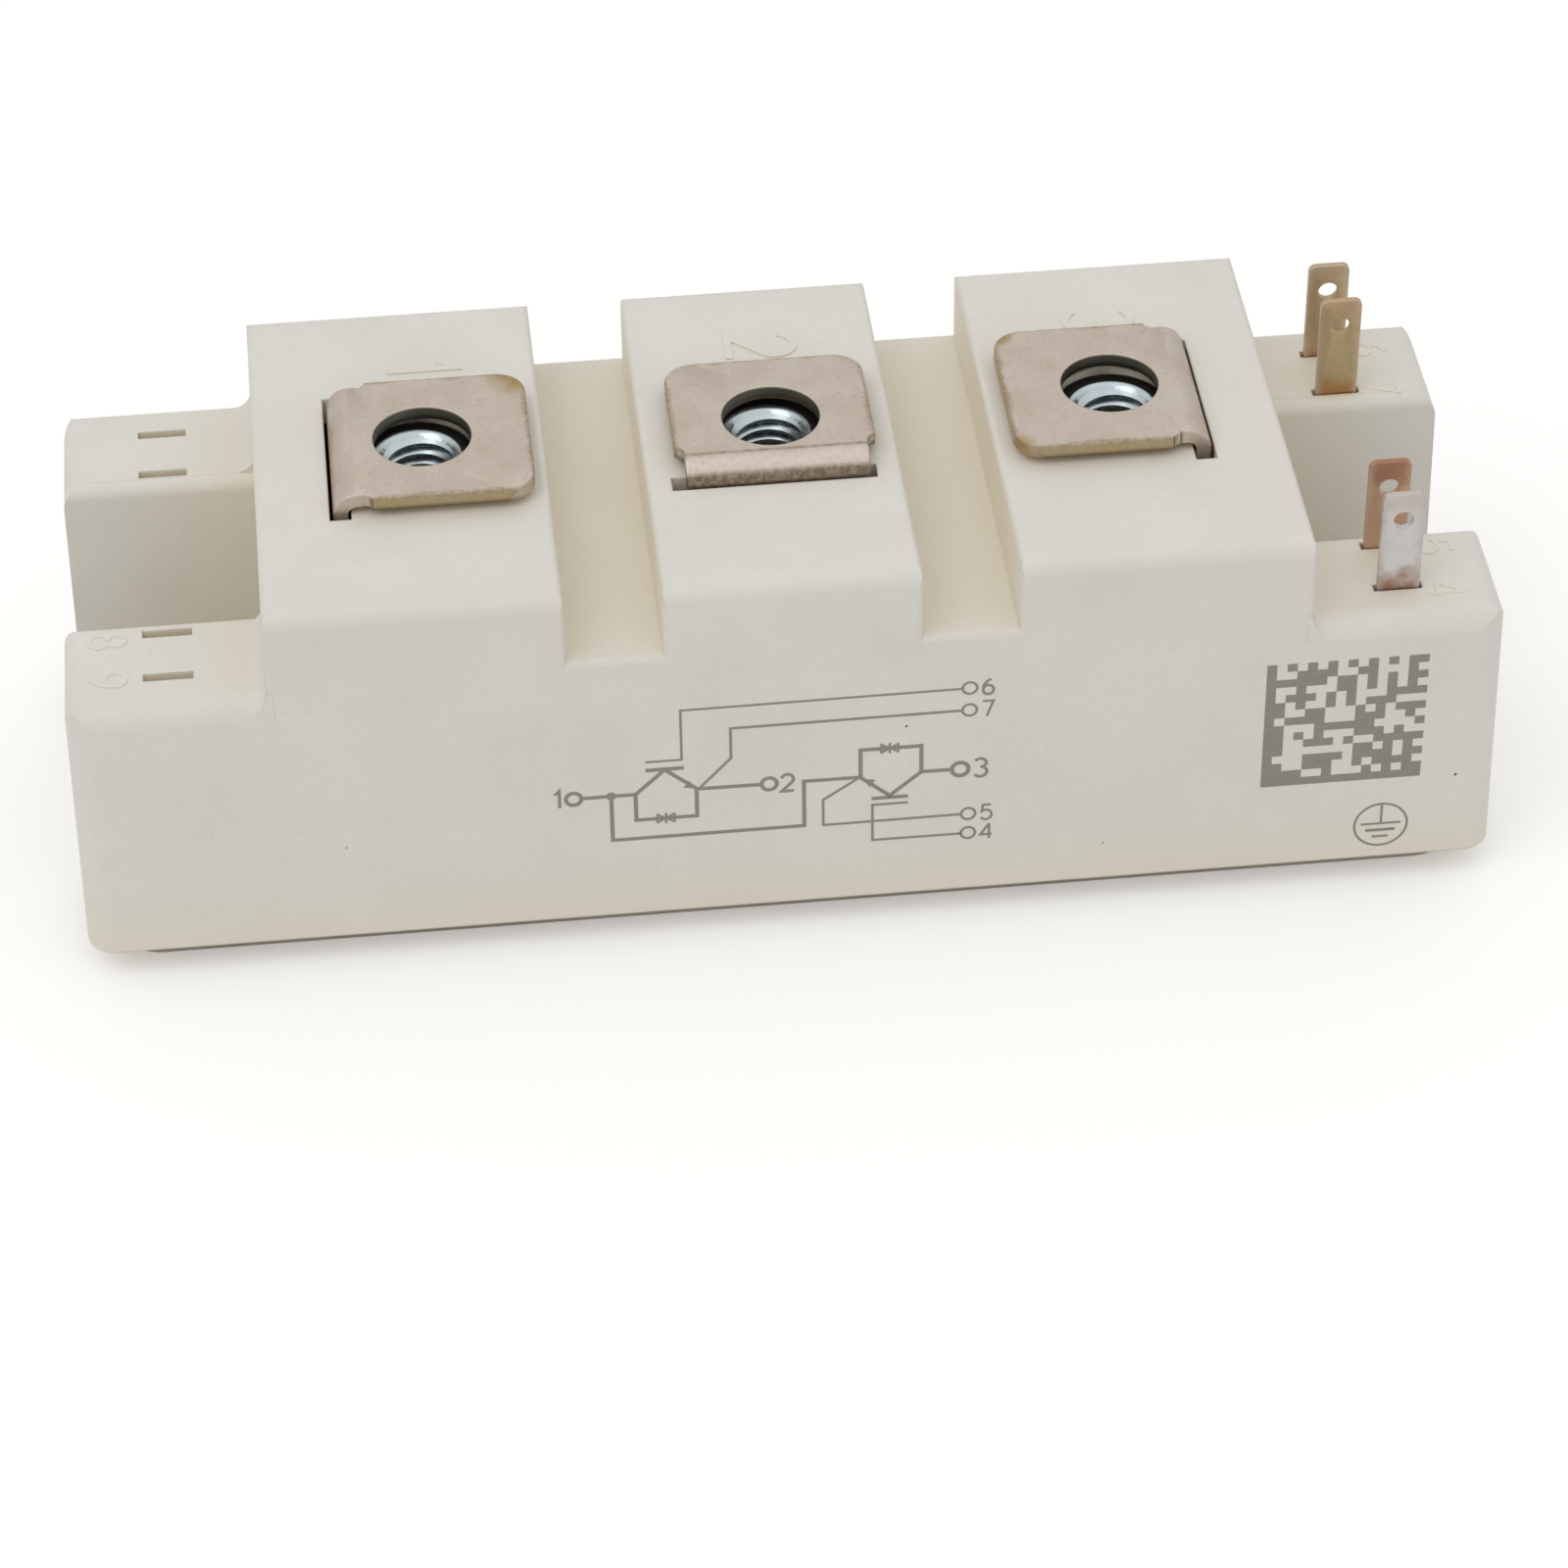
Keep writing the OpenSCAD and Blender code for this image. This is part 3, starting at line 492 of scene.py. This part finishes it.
def code_field(material):
    """A square field of random cells with a solid foot and left side, lasered on the front wall."""
    low, high = Vector(CODE_LOW), Vector(CODE_HIGH)
    middle = (low + high) / 2
    pitch = (high - low) / CELLS * MM
    place = on_front(middle.x, middle.y, 0) * MM
    g = Grower(
        "code_field", Cells=CELLS, Width=pitch.x, Height=pitch.y, Thickness=(INK_UP + INK_DOWN) * MM,
        Rise=(INK_UP - INK_DOWN) / 2 * MM, Place=tuple(place), Seed=7,
        Turn=(math.pi / 2 - math.atan(DRAFT), 0.0, 0.0),
    )
    size = g.size
    last = g.math("SUBTRACT", size["Cells"], 1.0)
    grid = g.node("GeometryNodeMeshGrid", {
        "Size X": g.math("MULTIPLY", size["Width"], last),
        "Size Y": g.math("MULTIPLY", size["Height"], last),
        "Vertices X": size["Cells"], "Vertices Y": size["Cells"],
    }).outputs[0]
    where = g.node("ShaderNodeSeparateXYZ", {0: g.node("GeometryNodeInputPosition").outputs[0]}).outputs
    half = g.math("MULTIPLY", last, 0.5)
    column = g.math("ROUND", g.math("ADD", g.math("DIVIDE", where["X"], size["Width"]), half))
    row = g.math("ROUND", g.math("ADD", g.math("DIVIDE", where["Y"], size["Height"]), half))

    def is_at(value, other):
        return g.math("COMPARE", value, other)

    def either(a, b):
        return g.math("MAXIMUM", a, b)

    def odd(value):
        return g.math("MODULO", value, 2.0)

    inside = g.math("MULTIPLY", g.math("LESS_THAN", column, last), g.math("LESS_THAN", row, last))
    odds = {"Probability": MARKED_SHARE, "Seed": size["Seed"]}
    drawn = g.node("FunctionNodeRandomValue", odds, data_type="BOOLEAN").outputs[3]
    inside = g.math("MULTIPLY", inside, drawn)
    solid = either(is_at(column, 0.0), is_at(row, 0.0))
    even_top = g.math("MULTIPLY", is_at(row, last), g.math("SUBTRACT", 1.0, odd(column)))
    odd_side = g.math("MULTIPLY", is_at(column, last), odd(row))
    marked = either(either(inside, solid), either(even_top, odd_side))
    block = g.node("ShaderNodeCombineXYZ", {
        0: g.math("MULTIPLY", size["Width"], 0.985), 1: g.math("MULTIPLY", size["Height"], 0.985),
        2: size["Thickness"],
    }).outputs[0]
    cell = g.node("GeometryNodeMeshCube", {"Size": block}).outputs[0]
    spread = g.node(
        "GeometryNodeInstanceOnPoints", {"Points": grid, "Selection": marked, "Instance": cell}
    ).outputs[0]
    lift = g.node("ShaderNodeCombineXYZ", {2: size["Rise"]}).outputs[0]
    lifted = g.node("GeometryNodeTransform", {0: spread, "Translation": lift}).outputs[0]
    turned = g.node(
        "GeometryNodeTransform", {0: lifted, "Translation": size["Place"], "Rotation": size["Turn"]}
    ).outputs[0]
    return g.grow(turned, material)


# ---- printed marks ----


def on_front(x, z, lift):
    """A place on the drafted front wall, raised off it by lift."""
    return Vector((x, -HALF_W + (z - RIM_Z) * DRAFT - lift, z))


def ribbon(points, width, closed=False):
    """Left and right outlines of a line drawn with mitred corners."""
    count = len(points)
    pts = [Vector(p) for p in points]
    left, right = [], []
    for i, p in enumerate(pts):
        before = pts[i - 1] if i or closed else None
        after = pts[(i + 1) % count] if i < count - 1 or closed else None
        a = (p - before).normalized() if before is not None else (after - p).normalized()
        b = (after - p).normalized() if after is not None else a
        na, nb = Vector((-a.y, a.x)), Vector((-b.y, b.x))
        mitre = (na + nb).normalized()
        reach = width / 2 / max(0.35, mitre.dot(na))
        left.append(p + mitre * reach)
        right.append(p - mitre * reach)
    return left, right


class Marks:
    """Collects flat shapes on a wall and turns them into one thin mesh."""

    def __init__(self, place, up=INK_UP, down=INK_DOWN):
        self.place, self.up, self.down = place, up, down
        self.verts, self.faces, self.layer = [], [], 0

    def _level(self, outline, height):
        first = len(self.verts)
        self.verts += [self.place(p[0], p[1], height) for p in outline]
        return list(range(first, first + len(outline)))

    def _top(self):
        """Each shape is a hair higher than the last, so crossing tops never coincide."""
        self.layer = (self.layer + 1) % 6
        return self.up + 0.004 * self.layer

    def line(self, points, width, closed=False):
        left, right = ribbon(points, width, closed)
        rings = [self._level(side, h) for h in (self._top(), -self.down) for side in (left, right)]
        tl, tr, bl, br = rings
        n = len(points)
        for i in range(n if closed else n - 1):
            j = (i + 1) % n
            self.faces += [
                (tl[i], tl[j], tr[j], tr[i]), (bl[i], br[i], br[j], bl[j]),
                (tl[i], bl[i], bl[j], tl[j]), (tr[i], tr[j], br[j], br[i]),
            ]
        if not closed:
            self.faces += [(tl[0], tr[0], br[0], bl[0]), (tl[-1], bl[-1], br[-1], tr[-1])]

    def ring(self, centre, radius, width, steps=28):
        turn = [2 * math.pi * i / steps for i in range(steps)]
        points = [(centre[0] + radius * math.cos(a), centre[1] + radius * math.sin(a)) for a in turn]
        self.line(points, width, closed=True)

    def field(self, outline):
        """A filled convex shape."""
        top, low = self._level(outline, self._top()), self._level(outline, -self.down)
        self.faces += [tuple(top), tuple(reversed(low))]
        for i in range(len(outline)):
            j = (i + 1) % len(outline)
            self.faces.append((top[i], low[i], low[j], top[j]))

    def dot(self, centre, radius, steps=20):
        turn = [2 * math.pi * i / steps for i in range(steps)]
        self.field([(centre[0] + radius * math.cos(a), centre[1] + radius * math.sin(a)) for a in turn])

    def digit(self, number, corner, height, width):
        for stroke in DIGITS[number]:
            self.line([(corner[0] + u * height, corner[1] + v * height) for u, v in stroke], width)

    def mesh(self, name):
        return from_faces(name, self.verts, self.faces)


def bow(x, y, rx, ry, start, end, steps=12):
    """Points along an ellipse's arc, from one angle in degrees to another."""
    turns = [math.radians(start + (end - start) * i / steps) for i in range(steps + 1)]
    return [(x + rx * math.cos(a), y + ry * math.sin(a)) for a in turns]


SIX = [bow(0.58, 0.3, 0.56, 0.7, 104, 180, 6), bow(0.3, 0.3, 0.28, 0.3, 0, 360, 18)]

# Single-line digits in a box 0.6 wide and 1 high
DIGITS = {
    1: [[(0.12, 0.78), (0.34, 1.0), (0.34, 0.0)]],
    2: [bow(0.3, 0.71, 0.28, 0.29, 165, -35) + [(0.03, 0.0), (0.6, 0.0)]],
    3: [bow(0.29, 0.76, 0.26, 0.24, 150, -90), bow(0.29, 0.27, 0.29, 0.27, 90, -150)],
    4: [[(0.46, 0.0), (0.46, 1.0)], [(0.46, 1.0), (0.0, 0.28), (0.6, 0.28)]],
    5: [[(0.54, 1.0), (0.12, 1.0)] + bow(0.28, 0.33, 0.3, 0.33, 135, -150)],
    6: SIX,
    7: [[(0.02, 1.0), (0.58, 1.0), (0.24, 0.0)]],
    8: [bow(0.3, 0.76, 0.24, 0.24, -90, 270), bow(0.3, 0.27, 0.29, 0.27, 90, 450)],
    9: [[(0.6 - u, 1.0 - v) for u, v in stroke] for stroke in SIX],
}


def diode(marks, x, z):
    """Two small triangles nose to nose with their bars."""
    for side in (-1, 1):
        back, corner = x + side * 0.62, x + side * 0.55
        marks.line([(back, z), (corner, z + 0.34), (x, z), (corner, z - 0.34), (back, z)], 0.13)
    marks.line([(x, z - 0.42), (x, z + 0.42)], 0.16)


def circuit():
    """Half-bridge circuit with its seven terminals."""
    m = Marks(on_front)
    # Low side, between terminals 1 and 2
    m.ring((-14.55, 12.14), 0.5, BOLD)
    m.line([(-14.05, 12.15), (-10.5, 12.15), (-8.55, 14.04), (-6.45, 12.24), (-2.2, 12.2)], BOLD)
    m.dot((-12.09, 12.15), 0.32)
    m.field([(-6.62, 12.3), (-7.35, 12.45), (-6.95, 12.95)])
    m.line([(-9.8, 14.1), (-7.3, 14.1)], BOLD)
    m.line([(-9.8, 14.78), (-7.42, 14.78), (-7.42, 18.85), (10.86, 18.92)], FINE)
    m.line([(-10.5, 12.15), (-10.5, 9.98), (-6.5, 9.98), (-6.5, 12.2)], BOLD)
    diode(m, -8.55, 9.98)
    m.line([(-6.3, 12.3), (-4.2, 14.62), (-4.2, 17.08), (10.87, 17.13)], FINE)
    m.ring((-1.73, 12.2), 0.5, BOLD)
    m.line([(-12.09, 12.15), (-12.09, 8.42), (0.55, 8.44), (0.55, 12.2), (4.25, 12.18)], BOLD)
    # High side, up to terminal 3
    m.line([(4.25, 12.18), (6.2, 10.45), (8.28, 12.27), (10.3, 12.25)], BOLD)
    m.field([(4.5, 12.0), (5.25, 11.85), (4.85, 11.3)])
    m.line([(4.28, 12.18), (4.28, 14.45), (8.28, 14.45), (8.28, 12.27)], BOLD)
    diode(m, 6.2, 14.45)
    m.line([(5.0, 10.3), (7.42, 10.3)], BOLD)
    m.line([(7.42, 9.76), (5.06, 9.76), (5.06, 6.76), (10.95, 6.74)], FINE)
    m.line([(4.1, 12.1), (1.8, 10.5), (1.8, 8.36), (10.93, 8.4)], FINE)
    m.ring((10.85, 12.24), 0.55, BOLD)
    for z in (18.94, 17.13, 8.4, 6.77):
        m.ring((11.42, z), 0.47, FINE)
    for number, z in ((6, 18.94), (7, 17.13), (5, 8.4), (4, 6.77)):
        m.digit(number, (12.25, z - 0.6), 1.25, 0.17)
    m.digit(1, (-15.95, 11.5), 1.4, 0.2)
    m.digit(2, (-0.95, 11.5), 1.4, 0.2)
    m.digit(3, (11.75, 11.5), 1.5, 0.22)
    return m.mesh("circuit")


def earth_mark():
    """Protective earth in a ring."""
    m = Marks(on_front)
    x, z = 39.25, 4.74
    m.ring((x, z), 1.78, 0.16, 40)
    m.line([(x, z + 1.7), (x, z + 0.1)], 0.16)
    m.line([(x - 1.35, z + 0.1), (x + 1.35, z + 0.1)], 0.16)
    m.line([(x - 1.0, z - 0.45), (x + 1.0, z - 0.45)], 0.22)
    m.line([(x - 0.55, z - 1.0), (x + 0.55, z - 1.0)], 0.16)
    return m.mesh("earth_mark")


def raised_number(name, number, corner, top, height, width, up):
    """A number raised on a top face. It lies on its side, with its head towards +X."""
    m = Marks(lambda u, v, lift: Vector((corner[0] + v, corner[1] - u, top + lift)), up, 0.1)
    m.digit(number, (0, 0), height, width)
    return m.mesh(name)


# ---- stage ----


def camera():
    """Looks at the part from in front and above."""
    yaw, pitch, roll = map(math.radians, (-5.64, 40.03, -0.68))
    distance, target = 339.53 * MM, Vector((-1.10, -20.31, 15.0)) * MM
    back = Vector((math.sin(yaw) * math.cos(pitch), -math.cos(yaw) * math.cos(pitch), math.sin(pitch)))
    right = Vector((math.cos(yaw), math.sin(yaw), 0))
    up = back.cross(right)
    across = math.cos(roll) * right + math.sin(roll) * up
    upward = -math.sin(roll) * right + math.cos(roll) * up
    data = bpy.data.cameras.new("camera")
    data.sensor_width = 36
    data.lens = 120.83
    data.clip_start, data.clip_end = 0.01, 20
    cam = bpy.data.objects.new("camera", data)
    scene.collection.objects.link(cam)
    turn = Matrix((across, upward, back)).transposed()
    cam.matrix_world = Matrix.Translation(target + back * distance) @ turn.to_4x4()
    scene.camera = cam


def softbox(name, place, size, power, target=(0, 0, 0.015)):
    data = bpy.data.lights.new(name, "AREA")
    data.shape = "RECTANGLE"
    data.size, data.size_y = size
    data.energy = power
    obj = bpy.data.objects.new(name, data)
    scene.collection.objects.link(obj)
    obj.location = place
    obj.rotation_mode = "QUATERNION"
    obj.rotation_quaternion = (Vector(place) - Vector(target)).to_track_quat("Z", "Y")


def floor():
    """Pale paper. The camera sees it a little lighter than it lights the part."""
    side, below = 3.0, -0.02 * MM
    corners = [(-side, -side, below), (side, -side, below), (side, side, below), (-side, side, below)]
    mesh = bpy.data.meshes.new("floor")
    mesh.from_pydata(corners, [], [(0, 1, 2, 3)])
    obj = bpy.data.objects.new("floor", mesh)
    scene.collection.objects.link(obj)
    p = Paint("paper_floor", rough=0.8, emission_color=(1, 1, 1, 1))
    p.link(p.mix(p.noise(80.0), (0.86, 0.86, 0.86), (0.88, 0.88, 0.88)), "Base Color")
    seen = p.node("ShaderNodeLightPath").outputs["Is Camera Ray"]
    p.link(p.math("MULTIPLY", seen, 0.22), "Emission Strength")
    mesh.materials.append(p.material)


def surroundings(low, high, seen=1.0):
    """A white room, dimmer and warmer towards the floor, and pure white where the camera sees it."""
    world = bpy.data.worlds.new("room")
    scene.world = world
    world.use_nodes = True
    room = Wiring(world.node_tree)
    shade = room.tree.nodes["Background"]
    direction = room.node("ShaderNodeTexCoord").outputs["Generated"]
    height = room.node("ShaderNodeSeparateXYZ", {0: direction}).outputs["Z"]
    height = room.node("ShaderNodeClamp", {"Value": height}).outputs[0]
    colour = room.node("ShaderNodeMix", data_type="RGBA")
    colour.inputs[6].default_value = (1.0, 0.97, 0.92, 1)
    colour.inputs[7].default_value = (1.0, 1.0, 0.99, 1)
    room.tree.links.new(height, colour.inputs[0])
    room.tree.links.new(colour.outputs[2], shade.inputs["Color"])
    light = room.node("ShaderNodeMapRange", {0: height, 3: low, 4: high}).outputs[0]
    path = room.node("ShaderNodeLightPath").outputs["Is Camera Ray"]
    strength = room.node("ShaderNodeMapRange", {0: path, 3: light, 4: seen}).outputs[0]
    room.tree.links.new(strength, shade.inputs["Strength"])


def stage():
    camera()
    floor()
    softbox("key", (-0.55, -0.35, 0.9), (0.7, 0.7), 1.5)
    softbox("fill", (0.6, -0.8, 0.5), (0.8, 0.6), 0.15)
    surroundings(0.6, 0.96)
    scene.view_settings.view_transform = "Standard"


# ---- the part ----


def add_front_print():
    """The lasered marks and the grit on the front wall."""
    ink = simple("laser_grey", (0.25, 0.228, 0.195), (0.29, 0.27, 0.235), 0.6)
    piece("circuit", circuit(), ink)
    piece("earth_mark", earth_mark(), ink)
    piece("code_field", code_field(ink), ink)
    specks = Marks(on_front, up=0.006)
    for x, z, radius in GRIT:
        specks.dot((x, z), radius, 8)
    grit = simple("grit", (0.12, 0.10, 0.08), (0.18, 0.16, 0.13), 0.8)
    piece("grit", specks.mesh("grit"), grit)


def add_raised_numbers():
    ivory = moulded_plastic("ivory_raised", edge=None)
    for number, corner in TOWER_NUMBERS.items():
        name = f"raised_{number}"
        mesh = raised_number(name, number, corner, TOWER_TOP, height=4.4, width=0.5, up=0.1)
        piece(name, mesh, ivory)
    for number, corner in SLOT_NUMBERS.items():
        name = f"raised_{number}"
        mesh = raised_number(name, number, corner, BLOCK_TOP, height=2.4, width=0.28, up=0.06)
        piece(name, mesh, ivory)


def replace(name, mesh, material):
    """Puts a finer piece in the place of a CAD node."""
    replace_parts(piece(name + "_finished", mesh, material), name)


def add_terminals():
    finishes = {
        1: terminal_metal(1, patches=[(-16.3, 5.6, 2.0)]),
        2: terminal_metal(2, bend=-4.3),
        3: terminal_metal(3, patches=[(16.2, 6.4, 1.1), (16.2, -5.6, 1.1)]),
    }
    steel = bright_steel()
    for number, finish in finishes.items():
        name = f"screw_terminal_{number}"
        replace(name, softened_copy(name, TERMINAL_EDGE, LONGER[number]), finish)
        replace(f"nut_{number}", threaded_nut(number, steel), steel)


def add_blades():
    # The tones of the tip, middle, root and side edges, and how high the blade reaches
    tones = {
        4: ((0.62, 0.57, 0.53), (0.67, 0.65, 0.64), (0.38, 0.22, 0.15), (0.58, 0.53, 0.53), 29.5),
        5: ((0.42, 0.22, 0.14), (0.60, 0.41, 0.28), (0.60, 0.41, 0.27), (0.55, 0.38, 0.28), 28.8),
        6: ((0.56, 0.45, 0.31), (0.55, 0.42, 0.26), (0.46, 0.28, 0.14), (0.60, 0.49, 0.40), 29.3),
        7: ((0.56, 0.41, 0.25), (0.53, 0.42, 0.24), (0.46, 0.24, 0.10), (0.60, 0.46, 0.35), 29.5),
    }
    for number, blade_tones in tones.items():
        name = f"blade_terminal_{number}"
        finish = blade_metal(number, *blade_tones)
        replace(name, softened_copy(name, BLADE_EDGE), finish)


def add_inner_pieces():
    """The pieces under the case keep their CAD shapes and get their finishes."""
    gel = simple(
        "silicone_gel", (0.9, 0.93, 0.94), (0.95, 0.97, 0.98), 0.1, transmission_weight=0.9
    )
    inner = {
        "sealing_bead": simple("white_silicone", (0.7, 0.69, 0.66), (0.78, 0.77, 0.75), 0.6),
        "solder_low": simple("solder", (0.42, 0.42, 0.43), (0.55, 0.55, 0.56), 0.4, 1.0),
        "substrate_low": simple("alumina", (0.8, 0.8, 0.78), (0.86, 0.86, 0.84), 0.5),
        "tracks_low": simple("etched_copper", (0.72, 0.4, 0.27), (0.8, 0.5, 0.35), 0.35, 1.0),
        "igbt_chip_low": simple("chip_metal", (0.3, 0.3, 0.32), (0.42, 0.42, 0.44), 0.3, 0.8),
        "bond_wires_low": simple("bond_aluminium", (0.75, 0.75, 0.76), (0.84, 0.84, 0.85), 0.3, 1.0),
        "silicone_gel": gel,
    }
    inner["solder_high"] = inner["solder_low"]
    inner["substrate_high"] = inner["substrate_low"]
    inner["tracks_high"] = inner["tracks_low"]
    for name in ("igbt_chip_high", "diode_chip_low", "diode_chip_high"):
        inner[name] = inner["igbt_chip_low"]
    inner["bond_wires_high"] = inner["link_wires"] = inner["bond_wires_low"]
    for name, material in inner.items():
        dress(name, material)


def main():
    dress("case", moulded_plastic())
    replace("base_plate", softened_copy("base_plate", BASE_EDGE), nickel_plate())
    add_front_print()
    add_raised_numbers()
    add_terminals()
    add_blades()
    add_inner_pieces()


stage()
main()
